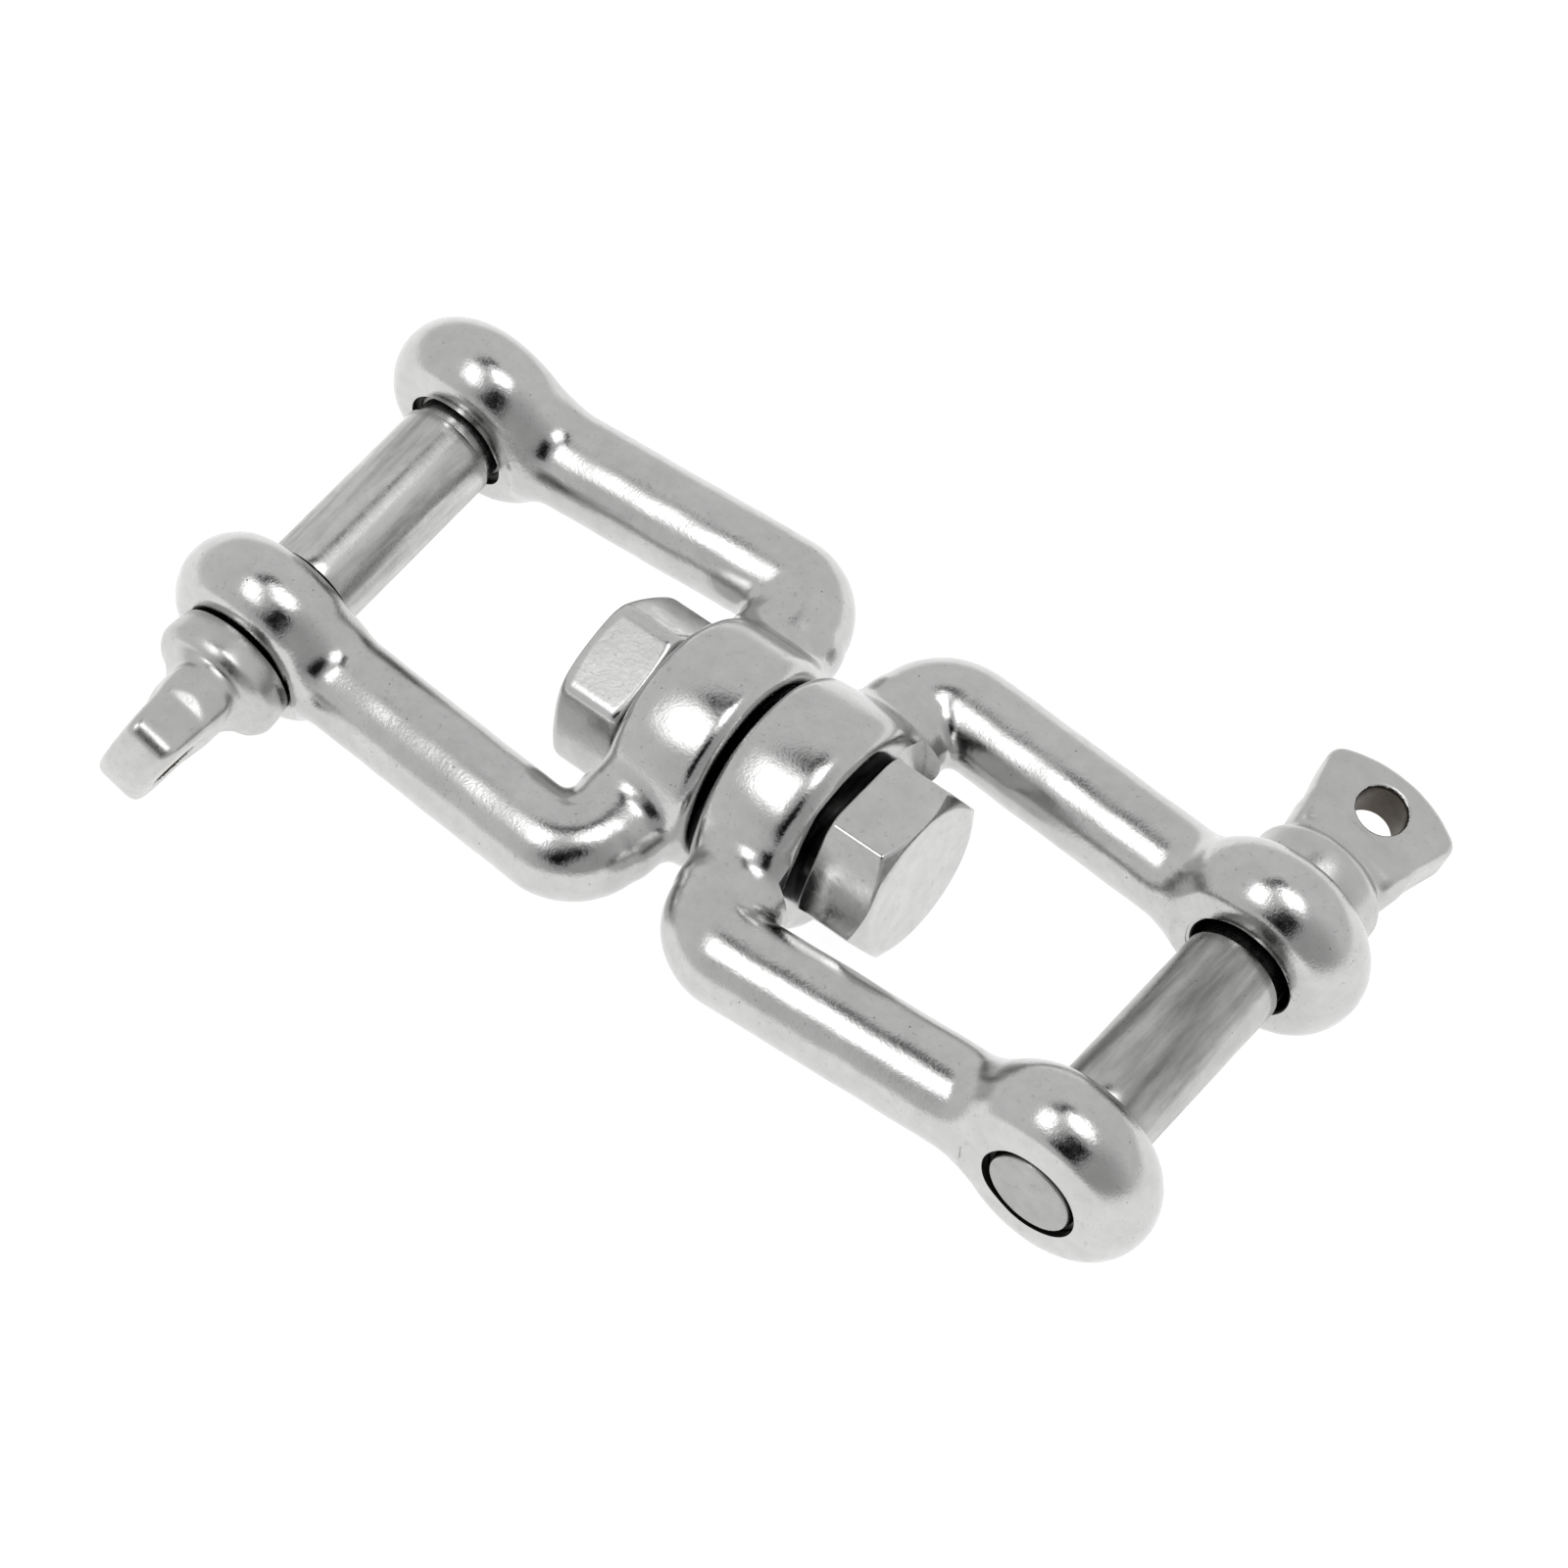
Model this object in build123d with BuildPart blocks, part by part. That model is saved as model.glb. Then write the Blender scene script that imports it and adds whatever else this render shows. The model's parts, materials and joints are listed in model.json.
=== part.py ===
from build123d import *
import os
from math import atan2, cos, degrees, radians, sin, sqrt

# Jaw-and-jaw anchor chain swivel in polished stainless steel, 8 mm pin size.
# Two cast jaws turn on one hex-headed bolt, and each jaw is closed by a screw pin with an eye.
# All lengths are in millimetres and all angles in degrees.
#
# Frame: the origin is on the swivel axis, midway between the two boss faces.
# +X runs along the swivel axis towards the jaw that holds the bolt's head, +Y runs along the pins,
# and +Z points up from the surface that the swivel lies on.

# Driving dimensions ---------------------------------------------------------------------------

pin_diameter = 8.0            # plain shank of the clevis pins: the nominal size of the swivel
bolt_diameter = 8.0           # swivel bolt, M8
jaw_reach = 37.1              # swivel centre to pin axis, along X
jaw_roll = 3.0                # lying down, each jaw rolls this far until its heavier ear drops

boss_gap = 0.5                # play between the two bosses
boss_radius = 9.15
boss_length = 8.2
boss_rim = 1.2                # soft rounding of the boss at the gap

bar_radius = 3.87             # round section of the arms
arm_y_ear = 12.3              # arm axis at the ear
arm_y_corner = 14.25          # arm axis at the crossbar: the arms close in towards the ears
bend_radius = 3.2             # axis of the bend: less than the bar, so the inner corner is sharp
crossbar_x = 5.45             # crossbar axis
crossbar_half_width = 4.7     # the crossbar swells to an oval where it meets the boss

ear_y = 12.45                 # middle plane of an ear
ear_radius = 8.15
ear_rim_radius = 4.1          # rounded rim of the ear
ear_half_thickness = 3.62     # flat faces round the pin hole
neck_length = 4.6             # the arm starts to open out this far before the ear's core
neck_half_height = 4.5        # oval end of the arm inside the ear

hex_across_flats = 13.0
head_height = 5.55
nut_height = 6.3
head_play = 0.9               # the bolt's head stands this far off its boss
nut_play = 0.06
tip_stand = 0.3               # the bolt's end stands this far out of the nut
head_turn = 118.0             # angle of one head corner from +Y
nut_turn = 18.5               # angle of one nut corner from +Y

shank_start = -7.65           # plain shank of the pin, between the ears
shank_end = 8.15
collar_start = 16.37          # face of the collar that stops short of the ear
collar_widest = 18.3          # widest line of the domed collar
collar_end = 19.35
collar_face_radius = 5.1
collar_radius = 5.38
collar_lip_radius = 4.75
neck_radius = 4.4             # foot of the neck on the collar
waist_y = 20.4
waist_half_width = 4.05
waist_half_thickness = 2.7
plate_start = 21.3
plate_corner_y = 27.4
plate_end = 29.36
plate_root_half_width = 4.1
plate_half_width = 6.0        # before the corners are rounded
plate_half_thickness = 2.1
plate_corner = 1.8
plate_edge = 0.7
eye_y = 25.5
eye_hole_radius = 2.0
right_eye_turn = -14.5        # how far each eye is turned about its pin when screwed home
left_eye_turn = -65.0

# Fits and small edges -------------------------------------------------------------------------

bolt_clearance = 0.08         # running fit of the bolt in both bosses
nut_clearance = 0.05          # the nut's thread is a plain bore
thread_clearance = 0.08       # the pin's thread is a plain cylinder in a plain hole
ear_clearance = 0.3           # plain hole in the ear under the collar
journal_radius = 3.7          # pin inside the plain ear
relief_radius = 3.6           # groove where the thread runs out
relief_start = -9.0
countersink_radius = 4.7      # mouths of the pin holes towards the window
counterbore_depth = 0.6       # step in the plain ear's mouth
boss_blend = 0.6              # casting blend from crossbar to boss
spot_face_radius = 8.9        # machined seat for the head or nut
shank_chamfer = 0.25
tip_chamfer = 0.5
tip_taper = 0.8               # the pin's end narrows over this length
hex_rim_radius = 6.2          # end face of the head and nut inside the 30 degree chamfer

# Derived values -------------------------------------------------------------------------------

pin_radius = pin_diameter / 2
bolt_radius = bolt_diameter / 2
thread_radius = pin_radius - thread_clearance
boss_start = boss_gap / 2
boss_end = boss_start + boss_length
head_start = boss_end + head_play
nut_start = -boss_end - nut_play
bolt_tip = nut_start - nut_height - tip_stand
hex_corner_radius = hex_across_flats / sqrt(3)
hex_chamfer = (hex_corner_radius - hex_rim_radius) * 0.577
ear_core_radius = ear_radius - ear_rim_radius
inner_face_y = ear_y - ear_half_thickness
outer_face_y = ear_y + ear_half_thickness
pin_axis = Axis((jaw_reach, 0, 0), (0, 1, 0))
swivel_axis = Axis((0, 0, 0), (1, 0, 0))
past = 3.0                    # how far cutting tools run past a face

# The arm's axis leans in towards the ear, and the bend is tangent to it and to the crossbar
arm_lean = degrees(atan2(arm_y_corner - arm_y_ear, jaw_reach - crossbar_x))
lean_cos = cos(radians(arm_lean))
lean_sin = sin(radians(arm_lean))
arm_start = bend_radius * (1 + lean_sin) / lean_cos
arm_end = (jaw_reach - ear_core_radius - crossbar_x) / lean_cos
bend_x = crossbar_x + bend_radius
bend_y = arm_y_corner - arm_start * lean_sin - bend_radius * lean_cos

os.makedirs("parts", exist_ok=True)


# Jaw ------------------------------------------------------------------------------------------
# One casting: a round boss on the swivel axis, a crossbar through it, two arms and two ears.
# It is built upright with its window towards +X, threaded ear on -Y and plain ear on +Y.

with BuildPart() as jaw:
    # Bends: a round bar turned tightly about the inner corner
    with BuildSketch(Plane(origin=(bend_x, bend_y, 0), x_dir=(-1, 0, 0), z_dir=(0, 1, 0))):
        with Locations((bend_radius, 0)):
            Circle(bar_radius)
        with Locations((-past / 2, 0)):
            Rectangle(past, bar_radius * 2, mode=Mode.SUBTRACT)
    revolve(axis=Axis((bend_x, bend_y, 0), (0, 0, -1)), revolution_arc=90 + arm_lean)

    # Arm: round bar that opens into a neck at the ear
    arm_origin = (crossbar_x + arm_start * lean_cos, arm_y_corner - arm_start * lean_sin, 0)
    with BuildSketch(Plane(arm_origin, z_dir=(lean_cos, -lean_sin, 0))):
        Circle(bar_radius)
    extrude(amount=arm_end - neck_length - arm_start)
    neck_sections = (
        (arm_end - neck_length, bar_radius, bar_radius),
        (arm_end - neck_length * 0.45, (bar_radius + ear_half_thickness) / 2, bar_radius + 0.3),
        (arm_end, ear_half_thickness - 0.05, neck_half_height),
    )
    for distance, half_width, half_height in neck_sections:
        section_x = crossbar_x + distance * lean_cos
        section_y = arm_y_corner - distance * lean_sin
        section_plane = Plane(
            (section_x, section_y, 0),
            x_dir=(lean_sin, lean_cos, 0),
            z_dir=(lean_cos, -lean_sin, 0),
        )
        with BuildSketch(section_plane):
            Ellipse(half_width, half_height)
    loft()
    mirror(about=Plane.XZ)

    # Crossbar: round at the bends, swelling to an oval in the middle
    crossbar_sections = (
        (-bend_y, bar_radius),
        (-bend_y * 0.6, crossbar_half_width),
        (bend_y * 0.6, crossbar_half_width),
        (bend_y, bar_radius),
    )
    for section_y, half_width in crossbar_sections:
        with BuildSketch(Plane((crossbar_x, section_y, 0), x_dir=(1, 0, 0), z_dir=(0, 1, 0))):
            Ellipse(half_width, bar_radius)
    loft()

    # Ears: round discs with a full-round rim and flat faces
    face_radius = ear_core_radius + sqrt(ear_rim_radius**2 - ear_half_thickness**2)
    for side in (-1, 1):
        near_y = side * ear_y - ear_half_thickness
        far_y = side * ear_y + ear_half_thickness
        with BuildSketch(Plane.XY):
            with BuildLine():
                Polyline(
                    (jaw_reach + face_radius, near_y),
                    (jaw_reach, near_y),
                    (jaw_reach, far_y),
                    (jaw_reach + face_radius, far_y),
                )
                ThreePointArc(
                    (jaw_reach + face_radius, far_y),
                    (jaw_reach + ear_radius, side * ear_y),
                    (jaw_reach + face_radius, near_y),
                )
            make_face()
        revolve(axis=pin_axis)

    # Boss
    with BuildSketch(Plane.YZ.offset(boss_start)):
        Circle(boss_radius)
    extrude(amount=boss_length)

    # Casting blends where the crossbar leaves the boss, and soft rims on the boss
    boss_creases = jaw.edges().filter_by(
        lambda edge: edge.geom_type != GeomType.LINE
        and edge.bounding_box().min.X > boss_start + 0.1
        and edge.bounding_box().max.X < boss_end + 0.1
        and edge.bounding_box().size.X > 1
    )
    fillet(boss_creases, boss_blend)
    gap_rim = jaw.edges().filter_by(GeomType.CIRCLE).sort_by(Axis.X)[0]
    fillet(gap_rim, boss_rim)

    # Machined seat on the window side of the boss, cut into the crossbar
    with BuildSketch(Plane.YZ.offset(boss_end)):
        Circle(spot_face_radius)
    extrude(amount=past, mode=Mode.SUBTRACT)

    # Bolt hole through the boss
    with BuildSketch(Plane.YZ.offset(boss_start - past)):
        Circle(bolt_radius + bolt_clearance)
    extrude(amount=boss_length + 2 * past, mode=Mode.SUBTRACT)

    # Pin holes: tapped on -Y and plain on +Y, each with a wide mouth towards the window
    threaded_mouth = countersink_radius - pin_radius
    plain_radius = pin_radius + ear_clearance
    with BuildSketch(Plane.XY):
        Polygon(
            (jaw_reach, -outer_face_y - past),
            (jaw_reach + pin_radius, -outer_face_y - past),
            (jaw_reach + pin_radius, -inner_face_y - threaded_mouth),
            (jaw_reach + countersink_radius, -inner_face_y),
            (jaw_reach + countersink_radius, -inner_face_y + past),
            (jaw_reach, -inner_face_y + past),
            align=None,
        )
        Polygon(
            (jaw_reach, inner_face_y - past),
            (jaw_reach + countersink_radius, inner_face_y - past),
            (jaw_reach + countersink_radius, inner_face_y + counterbore_depth),
            (jaw_reach + plain_radius, inner_face_y + counterbore_depth),
            (jaw_reach + plain_radius, outer_face_y + past),
            (jaw_reach, outer_face_y + past),
            align=None,
        )
    revolve(axis=pin_axis, mode=Mode.SUBTRACT)

right_placement = Rot(X=-jaw_roll)
left_placement = Rot(Z=180) * Rot(X=-jaw_roll)

right_jaw = right_placement * jaw.part
right_jaw.label = "right_jaw"
export_step(right_jaw, "parts/right_jaw.step")

left_jaw = left_placement * jaw.part
left_jaw.label = "left_jaw"
export_step(left_jaw, "parts/left_jaw.step")


# Screw pins -----------------------------------------------------------------------------------
# Fan-shaped eye plate, waisted neck, domed collar, journal, plain shank, relief groove and M8
# thread with its end flush with the tapped ear. The thread is modelled as a plain cylinder.

def make_pin(eye_turn):
    turn_cos = cos(radians(eye_turn))
    turn_sin = sin(radians(eye_turn))
    plate_plane = Plane(
        origin=(jaw_reach, 0, 0),
        x_dir=(turn_cos, 0, turn_sin),
        z_dir=(-turn_sin, 0, turn_cos),
    )
    with BuildPart() as pin:
        # Eye plate with rounded corners, edges and hole
        with BuildSketch(plate_plane):
            with BuildLine():
                Polyline(
                    (-plate_half_width, plate_corner_y),
                    (-plate_root_half_width, plate_start),
                    (plate_root_half_width, plate_start),
                    (plate_half_width, plate_corner_y),
                )
                ThreePointArc(
                    (plate_half_width, plate_corner_y),
                    (0, plate_end),
                    (-plate_half_width, plate_corner_y),
                )
            plate_outline = make_face()
            fillet(plate_outline.vertices().sort_by(plate_plane.location.y_axis)[-2:], plate_corner)
        extrude(amount=plate_half_thickness, both=True)
        root_y = plate_start + 0.05
        outer_edges = pin.edges().filter_by(
            lambda edge: edge.bounding_box().max.Y > root_y
            and not edge.is_interior
            and abs(plate_plane.to_local_coords(edge.center()).Z) > plate_half_thickness - 0.01
        )
        fillet(outer_edges, plate_edge)
        with Locations(plate_plane):
            with Locations((0, eye_y)):
                Hole(eye_hole_radius)

        # Waisted neck from the collar to the plate
        neck_sections = (
            (collar_end - 0.1, neck_radius, neck_radius),
            (waist_y, waist_half_width + 0.15, waist_half_thickness),
            (plate_start + 0.1, plate_root_half_width, plate_half_thickness - 0.02),
        )
        for section_y, half_width, half_thickness in neck_sections:
            neck_plane = Plane(
                origin=(jaw_reach, section_y, 0),
                x_dir=(turn_cos, 0, turn_sin),
                z_dir=(0, 1, 0),
            )
            with BuildSketch(neck_plane):
                Ellipse(half_width, half_thickness)
        loft()

        # Turned body, drawn as half a profile beside the pin's axis
        with BuildSketch(Plane.XY):
            with BuildLine():
                Polyline(
                    (jaw_reach + collar_face_radius, collar_start),
                    (jaw_reach + journal_radius, collar_start),
                    (jaw_reach + journal_radius, shank_end),
                    (jaw_reach + pin_radius - shank_chamfer, shank_end),
                    (jaw_reach + pin_radius, shank_end - shank_chamfer),
                    (jaw_reach + pin_radius, shank_start + shank_chamfer),
                    (jaw_reach + pin_radius - shank_chamfer, shank_start),
                    (jaw_reach + relief_radius, shank_start),
                    (jaw_reach + relief_radius, relief_start),
                    (jaw_reach + thread_radius, relief_start - thread_radius + relief_radius),
                    (jaw_reach + thread_radius, -outer_face_y + tip_taper),
                    (jaw_reach + thread_radius - tip_chamfer, -outer_face_y),
                    (jaw_reach, -outer_face_y),
                    (jaw_reach, collar_end),
                    (jaw_reach + collar_lip_radius, collar_end),
                )
                Spline(
                    (jaw_reach + collar_lip_radius, collar_end),
                    (jaw_reach + collar_radius, collar_widest),
                    (jaw_reach + collar_face_radius, collar_start),
                )
            make_face()
        revolve(axis=pin_axis)
    return pin.part


right_pin = right_placement * make_pin(right_eye_turn)
right_pin.label = "right_pin"
export_step(right_pin, "parts/right_pin.step")

left_pin = left_placement * make_pin(left_eye_turn)
left_pin.label = "left_pin"
export_step(left_pin, "parts/left_pin.step")


# Swivel bolt and nut --------------------------------------------------------------------------

with BuildPart() as swivel_bolt:
    # Shank through both bosses and the nut
    with BuildSketch(Plane.YZ.offset(bolt_tip)):
        Circle(bolt_radius)
    extrude(amount=head_start - bolt_tip)
    chamfer(swivel_bolt.faces().sort_by(Axis.X)[0].edges(), tip_chamfer)

    # Hexagon head, chamfered round its end face
    with BuildSketch(Plane.YZ.offset(head_start)):
        RegularPolygon(hex_corner_radius, 6, rotation=head_turn)
    extrude(amount=head_height)
    with BuildSketch(Plane.XY):
        Polygon(
            (bolt_tip - past, 0),
            (bolt_tip - past, hex_corner_radius + 0.5),
            (head_start + head_height - hex_chamfer, hex_corner_radius + 0.5),
            (head_start + head_height - hex_chamfer, hex_corner_radius),
            (head_start + head_height, hex_rim_radius),
            (head_start + head_height, 0),
            align=None,
        )
    revolve(axis=swivel_axis, mode=Mode.INTERSECT)

swivel_bolt.part.label = "swivel_bolt"
export_step(swivel_bolt.part, "parts/swivel_bolt.step")

with BuildPart() as swivel_nut:
    with BuildSketch(Plane.YZ.offset(nut_start - nut_height)):
        RegularPolygon(hex_corner_radius, 6, rotation=nut_turn)
        Circle(bolt_radius + nut_clearance, mode=Mode.SUBTRACT)
    extrude(amount=nut_height)

    # Both end faces are chamfered
    with BuildSketch(Plane.XY):
        Polygon(
            (nut_start, 0),
            (nut_start, hex_rim_radius + 0.2),
            (nut_start - hex_chamfer, hex_corner_radius + 0.1),
            (nut_start - nut_height + hex_chamfer, hex_corner_radius + 0.1),
            (nut_start - nut_height, hex_rim_radius),
            (nut_start - nut_height, 0),
            align=None,
        )
    revolve(axis=swivel_axis, mode=Mode.INTERSECT)

swivel_nut.part.label = "swivel_nut"
export_step(swivel_nut.part, "parts/swivel_nut.step")
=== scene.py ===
import json
import math

import bmesh
import bpy
import numpy as np
from mathutils import Matrix, Vector


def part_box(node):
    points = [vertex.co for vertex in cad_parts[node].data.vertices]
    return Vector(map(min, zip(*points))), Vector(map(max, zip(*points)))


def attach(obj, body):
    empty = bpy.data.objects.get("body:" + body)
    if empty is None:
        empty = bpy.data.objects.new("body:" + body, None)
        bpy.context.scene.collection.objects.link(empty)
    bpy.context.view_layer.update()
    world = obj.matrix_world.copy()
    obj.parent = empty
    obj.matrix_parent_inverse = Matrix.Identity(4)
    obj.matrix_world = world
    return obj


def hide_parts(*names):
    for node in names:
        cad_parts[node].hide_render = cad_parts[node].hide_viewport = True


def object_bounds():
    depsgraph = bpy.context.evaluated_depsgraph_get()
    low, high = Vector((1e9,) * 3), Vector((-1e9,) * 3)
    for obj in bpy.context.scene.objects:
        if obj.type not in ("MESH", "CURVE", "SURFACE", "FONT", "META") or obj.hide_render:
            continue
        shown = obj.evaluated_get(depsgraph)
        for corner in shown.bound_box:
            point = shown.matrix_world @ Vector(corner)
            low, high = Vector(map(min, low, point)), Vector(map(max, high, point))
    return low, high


# Looks of a jaw-and-jaw anchor chain swivel in polished stainless steel.
# Shapes are worked out in millimetres beside one upright jaw (window towards +X, tapped ear on -Y),
# then scaled to metres and put in place on each side.

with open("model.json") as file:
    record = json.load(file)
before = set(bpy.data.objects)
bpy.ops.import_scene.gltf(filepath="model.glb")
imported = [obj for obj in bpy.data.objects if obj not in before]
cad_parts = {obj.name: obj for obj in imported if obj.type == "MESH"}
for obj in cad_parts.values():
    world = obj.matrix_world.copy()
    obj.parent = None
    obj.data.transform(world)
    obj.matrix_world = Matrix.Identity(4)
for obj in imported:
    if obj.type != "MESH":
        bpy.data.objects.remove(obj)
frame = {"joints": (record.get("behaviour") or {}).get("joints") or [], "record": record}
cad_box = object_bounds()
record = frame["record"]
mounts = {m["name"]: m for m in record["mounts"]}
joints = {j["name"]: j for j in frame["joints"]}
MM = 1000.0

# Sizes read from the frame --------------------------------------------------------------------

jaw_low, jaw_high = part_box("right_jaw")
head_low, head_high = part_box("swivel_bolt")
nut_low, nut_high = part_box("swivel_nut")
reach = mounts["right_pin_shank"]["pos_m"][0] * MM
pin_radius = mounts["right_pin_shank"]["dims"]["r_mm"]
eye_hole_radius = mounts["right_pin_eye"]["dims"]["r_mm"]
slide_axis = joints["right_pin_slide"]["axis"]
roll = math.atan2(slide_axis[2], slide_axis[1])
boss_start = jaw_low[0] * MM
boss_radius = jaw_high[2] * MM
ear_radius = jaw_high[0] * MM - reach
head_end = head_high[0] * MM
bolt_tip = head_low[0] * MM
nut_start = nut_high[0] * MM
nut_end = nut_low[0] * MM

# Sizes of details -----------------------------------------------------------------------------

boss_length = 8.2
boss_end = boss_start + boss_length
boss_rim = 1.3
boss_crown = 0.3
boss_window_rim = 0.9
bar_radius = 3.87
arm_y_ear = 12.3
arm_y_corner = 14.25
bend_radius = 3.2
crossbar_x = 5.45
crossbar_half_width = 4.7
ear_y = 12.45
ear_rim_radius = 4.1
ear_half_thickness = 3.62
ear_face_radius = 5.7
ear_core_radius = ear_radius - ear_rim_radius
inner_face = ear_y - ear_half_thickness
outer_face = ear_y + ear_half_thickness
spot_face_radius = 8.9
bolt_radius = 4.0
bolt_hole_radius = 4.08
hole_mouth = 0.35
ear_mouth_radius = 4.7
tapped_mouth_radius = 4.4
plain_hole_radius = pin_radius + 0.3
hex_half = 6.5
hex_rim_radius = 6.2
head_start = head_end - 5.55
head_turn = math.radians(118.0)
nut_turn = math.radians(18.5)
shank_start = -7.9
shank_end = 8.15
thread_crest = 3.92
thread_root = 3.38
thread_pitch = 1.25
bolt_thread_crest = 3.98
bolt_thread_root = 3.4
nut_bore_radius = 4.04
nut_mouth_radius = 4.6
relief_start = -9.5
relief_radius = 3.68
journal_radius = 3.7
journal_end = 17.0
collar_start = 16.2
collar_end = 19.35
collar_radius = 5.1
collar_swell = 0.27
collar_lip_drop = 0.6
neck_height = 1.7
neck_half_width = 4.3
neck_half_depth = 2.45
neck_middle = 20.4
neck_half_length = 1.9
plate_start = 20.75
plate_root = 21.2
plate_top = 27.4
plate_root_half_width = 4.35
plate_top_half_width = 6.0
plate_half_thickness = 2.5
plate_thinning = 0.058
crown_top = 29.34
crown_radius = 10.0
eye_y = math.hypot(*mounts["right_pin_eye"]["pos_m"][1:]) * MM

arm_lean = math.atan2(arm_y_corner - arm_y_ear, reach - crossbar_x)
lean_cos = math.cos(arm_lean)
lean_sin = math.sin(arm_lean)
arm_start = bend_radius * (1 + lean_sin) / lean_cos
arm_end = (reach - ear_core_radius - crossbar_x) / lean_cos
bend_x = crossbar_x + bend_radius
bend_y = arm_y_corner - arm_start * lean_sin - bend_radius * lean_cos


# Placing --------------------------------------------------------------------------------------

scale = Matrix.Scale(1 / MM, 4)
right_place = Matrix.Rotation(roll, 4, "X") @ scale
left_place = Matrix.Rotation(math.pi, 4, "Z") @ right_place
swivel_place = scale


# Meshing of smooth solids from distance fields ------------------------------------------------

def blend_union(a, b, width):
    near = np.maximum(width - np.abs(a - b), 0.0) / width
    return np.minimum(a, b) - near * near * width * 0.25


def blend_common(a, b, width):
    return -blend_union(-a, -b, width)


def blend_cut(solid, tool, width):
    return -blend_union(-solid, tool, width)


def gradient(field, points, reach_mm):
    result = np.empty_like(points)
    for axis in range(3):
        offset = np.zeros(3)
        offset[axis] = reach_mm
        ahead = field(*(points + offset).T)
        behind = field(*(points - offset).T)
        result[:, axis] = (ahead - behind) / (2 * reach_mm)
    return result


def project(field, points, step, rounds):
    for _ in range(rounds):
        slope = gradient(field, points, step * 0.25)
        value = field(*points.T)
        size = np.maximum((slope * slope).sum(axis=1), 0.04)
        move = slope * (value / size)[:, None]
        length = np.sqrt((move * move).sum(axis=1))
        points = points - move * np.minimum(1.0, step / np.maximum(length, 1e-9))[:, None]
    return points


def surface_of(field, low, high, step):
    """Vertices and quads of the surface where field is zero, inside a box, in millimetres."""
    low = np.array(low, float)
    counts = [int(math.ceil((h - l) / step)) + 1 for l, h in zip(low, high)]
    axes = [low[i] + step * np.arange(counts[i]) for i in range(3)]
    grid = np.empty(counts)
    slab = 24
    for first in range(0, counts[0], slab):
        xs = axes[0][first:first + slab]
        block = np.meshgrid(xs, axes[1], axes[2], indexing="ij")
        grid[first:first + slab] = field(*block)
    inside = grid < 0
    corners = np.zeros([c - 1 for c in counts], int)
    for i in (0, 1):
        for j in (0, 1):
            for k in (0, 1):
                corners += inside[i:counts[0] - 1 + i, j:counts[1] - 1 + j, k:counts[2] - 1 + k]
    mixed = (corners > 0) & (corners < 8)
    cells = np.argwhere(mixed)
    index = np.full(mixed.shape, -1)
    index[mixed] = np.arange(len(cells))
    total = np.zeros((len(cells), 3))
    hits = np.zeros(len(cells))
    for axis in range(3):
        others = [a for a in range(3) if a != axis]
        for i in (0, 1):
            for j in (0, 1):
                start = cells.copy()
                start[:, others[0]] += i
                start[:, others[1]] += j
                end = start.copy()
                end[:, axis] += 1
                a = grid[tuple(start.T)]
                b = grid[tuple(end.T)]
                crosses = (a < 0) != (b < 0)
                share = a / np.where(crosses, a - b, 1.0)
                point = start.astype(float)
                point[:, axis] += share
                total[crosses] += point[crosses]
                hits[crosses] += 1
    points = low + step * total / hits[:, None]
    quads = []
    for axis in range(3):
        others = [a for a in range(3) if a != axis]
        ahead = np.moveaxis(inside, [axis] + others, [0, 1, 2])
        change = ahead[:-1, 1:-1, 1:-1] != ahead[1:, 1:-1, 1:-1]
        leaving = ahead[:-1, 1:-1, 1:-1][change]
        place = np.argwhere(change)
        place[:, 1:] += 1
        ring = []
        for i, j in ((-1, -1), (0, -1), (0, 0), (-1, 0)):
            cell = np.empty_like(place)
            cell[:, axis] = place[:, 0]
            cell[:, others[0]] = place[:, 1] + i
            cell[:, others[1]] = place[:, 2] + j
            ring.append(index[tuple(cell.T)])
        ring = np.stack(ring, axis=1)
        flip = leaving if axis != 1 else ~leaving
        ring[~flip] = ring[~flip][:, ::-1]
        quads.append(ring)
    quads = np.concatenate(quads)
    points = project(field, points, step, 2)
    edges = np.concatenate([quads[:, [0, 1]], quads[:, [1, 2]], quads[:, [2, 3]], quads[:, [3, 0]]])
    degree = np.bincount(edges.ravel(), minlength=len(points))[:, None]
    for _ in range(3):
        around = np.zeros_like(points)
        np.add.at(around, edges[:, 0], points[edges[:, 1]])
        np.add.at(around, edges[:, 1], points[edges[:, 0]])
        points = points * 0.5 + around / degree * 0.5
        points = project(field, points, step, 1)
    points = project(field, points, step, 2)
    return points, quads


def mesh_object(name, points, faces, place=None, smooth=True):
    mesh = bpy.data.meshes.new(name)
    points = np.asarray(points, float)
    if place is not None:
        matrix = np.array(place)
        points = points @ matrix[:3, :3].T + matrix[:3, 3]
    mesh.from_pydata(points.tolist(), [], [list(f) for f in faces])
    mesh.update()
    obj = bpy.data.objects.new(name, mesh)
    bpy.context.scene.collection.objects.link(obj)
    for polygon in mesh.polygons:
        polygon.use_smooth = smooth
    return obj


# Shapes of the pieces as distance fields -------------------------------------------------------

def uneven(x, y, z, size):
    """Slow unevenness of a hand-polished casting, between about -1 and 1."""
    a, b, c = x / size, y / size, z / size
    wave = np.sin(1.7 * a + 0.9 * b + 1.3) * np.sin(1.1 * b - 1.5 * c + 0.4)
    wave = wave + np.sin(1.3 * c + 1.9 * a + 2.1) * np.sin(0.8 * a - 1.6 * b + 0.7)
    return 0.5 * wave + 0.25 * np.sin(3.1 * a + 1.2) * np.sin(2.7 * b) * np.sin(3.3 * c + 0.5)


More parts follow.
